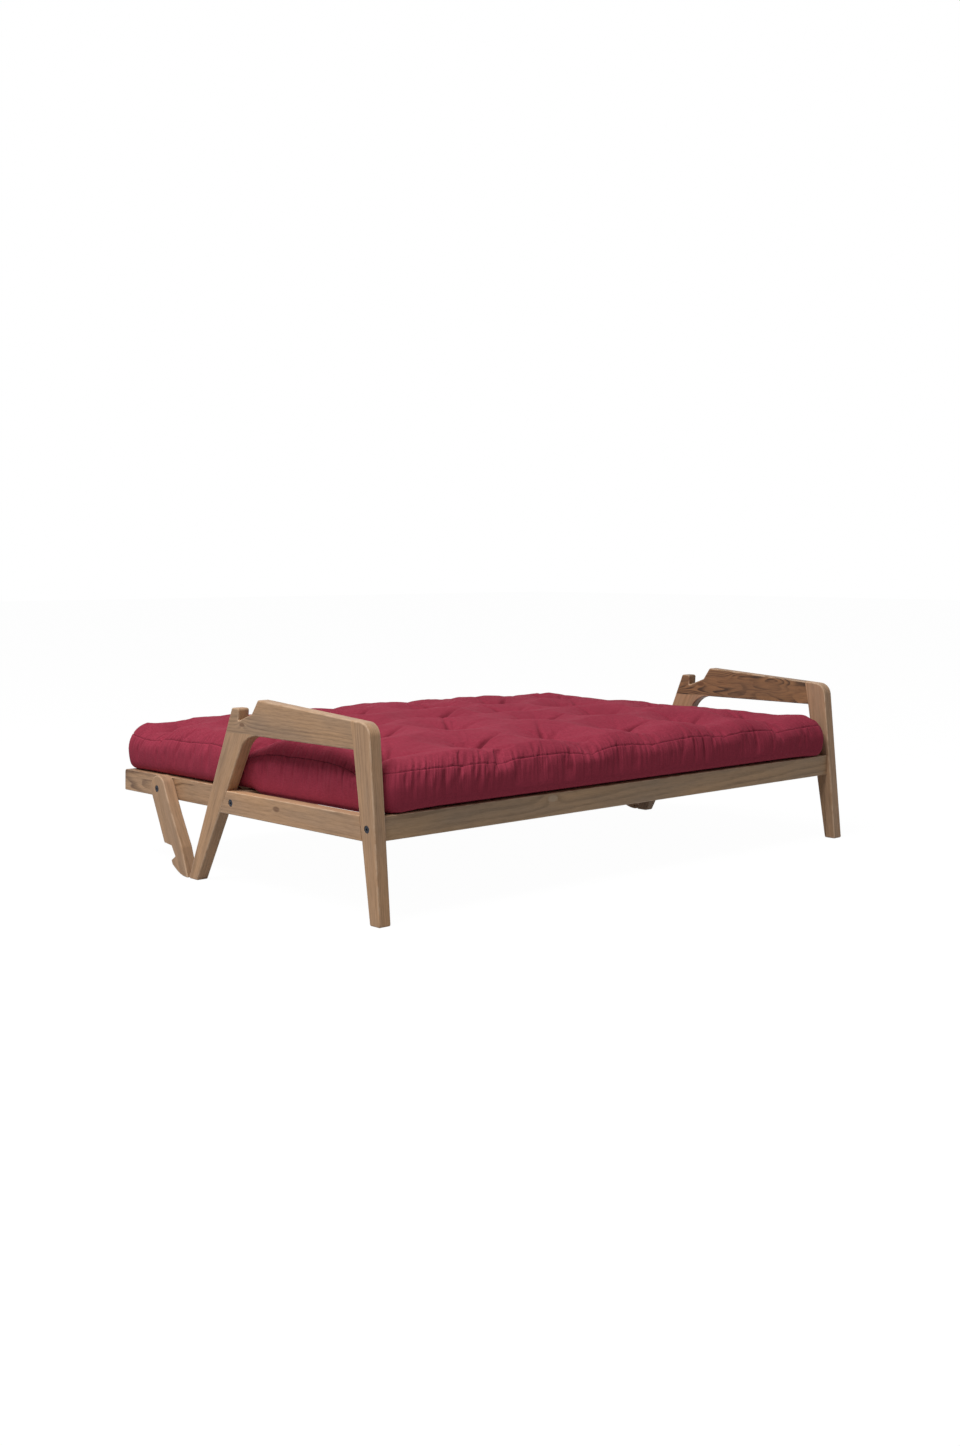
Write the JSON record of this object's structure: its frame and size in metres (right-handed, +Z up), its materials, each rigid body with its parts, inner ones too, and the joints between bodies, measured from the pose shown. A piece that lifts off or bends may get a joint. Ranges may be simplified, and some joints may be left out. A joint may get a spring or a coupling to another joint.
{
  "type": "sofa bed",
  "caption": "Wooden sofa bed lying flat, with open armrests, a folding slatted back on notched support legs and one thick tufted mattress.",
  "frame": {"origin": "centre of the floor rectangle under the whole part, on the floor", "axes": "+X along the seat towards the right armrest, +Y towards the back frame's free end, +Z up"},
  "size_m": [2, 1.3375, 0.5452],
  "materials": {
    "stained_pine": "satin",
    "plain_pine": "satin",
    "black_steel": "satin",
    "zinc_steel": "satin",
    "cotton_cover": "matte"
  },
  "bodies": {
    "seat_frame": {"front_leg_left": "stained_pine", "front_leg_right": "stained_pine", "arm_rail_left": "stained_pine", "arm_rail_right": "stained_pine", "rear_leg_left": "stained_pine", "rear_leg_right": "stained_pine", "side_rail_left": "stained_pine", "side_rail_right": "stained_pine", "front_cross_rail": "stained_pine", "rear_cross_rail": "stained_pine", "front_ledger": "plain_pine", "rear_ledger": "plain_pine", "seat_slat_1": "plain_pine", "seat_slat_2": "plain_pine", "seat_slat_3": "plain_pine", "seat_slat_4": "plain_pine", "seat_slat_5": "plain_pine", "seat_slat_6": "plain_pine", "seat_slat_7": "plain_pine", "seat_slat_8": "plain_pine", "front_bolt_left": "black_steel", "front_bolt_right": "black_steel", "rear_bolt_left": "black_steel", "rear_bolt_right": "black_steel", "front_barrel_nut_left": "zinc_steel", "front_barrel_nut_right": "zinc_steel", "rear_barrel_nut_left": "zinc_steel", "rear_barrel_nut_right": "zinc_steel", "pivot_bolt_left": "zinc_steel", "pivot_bolt_right": "zinc_steel", "pivot_insert_left": "zinc_steel", "pivot_insert_right": "zinc_steel", "pivot_washer_left": "zinc_steel", "pivot_washer_right": "zinc_steel", "mattress_seat": "cotton_cover", "mattress_fold": "cotton_cover"},
    "back_frame": {"back_side_rail_left": "stained_pine", "back_side_rail_right": "stained_pine", "back_front_cross_rail": "stained_pine", "back_rear_cross_rail": "stained_pine", "back_front_ledger": "plain_pine", "back_rear_ledger": "plain_pine", "back_slat_1": "plain_pine", "back_slat_2": "plain_pine", "back_slat_3": "plain_pine", "back_slat_4": "plain_pine", "back_slat_5": "plain_pine", "back_slat_6": "plain_pine", "back_slat_7": "plain_pine", "back_slat_8": "plain_pine", "support_bolt_left": "black_steel", "support_bolt_right": "black_steel", "support_washer_left": "zinc_steel", "support_washer_right": "zinc_steel", "support_nut_left": "zinc_steel", "support_nut_right": "zinc_steel", "mattress_back": "cotton_cover"},
    "support_left": {"support_leg_left": "stained_pine"},
    "support_right": {"support_leg_right": "stained_pine"}
  },
  "joints": [
    {"name": "back_fold", "type": "hinge", "parent": "seat_frame", "child": "back_frame", "pos_m": [0, 0.0777, 0.2445], "axis": [1, 0, 0], "range_deg": [0, 72], "deforming": ["mattress_fold"]},
    {"name": "support_leg_left_turn", "type": "hinge", "parent": "back_frame", "child": "support_left", "pos_m": [-0.981, 0.3963, 0.2445], "axis": [1, 0, 0], "range_deg": [0, 235]},
    {"name": "support_leg_right_turn", "type": "hinge", "parent": "back_frame", "child": "support_right", "pos_m": [0.981, 0.3963, 0.2445], "axis": [1, 0, 0], "range_deg": [0, 235]}
  ]
}
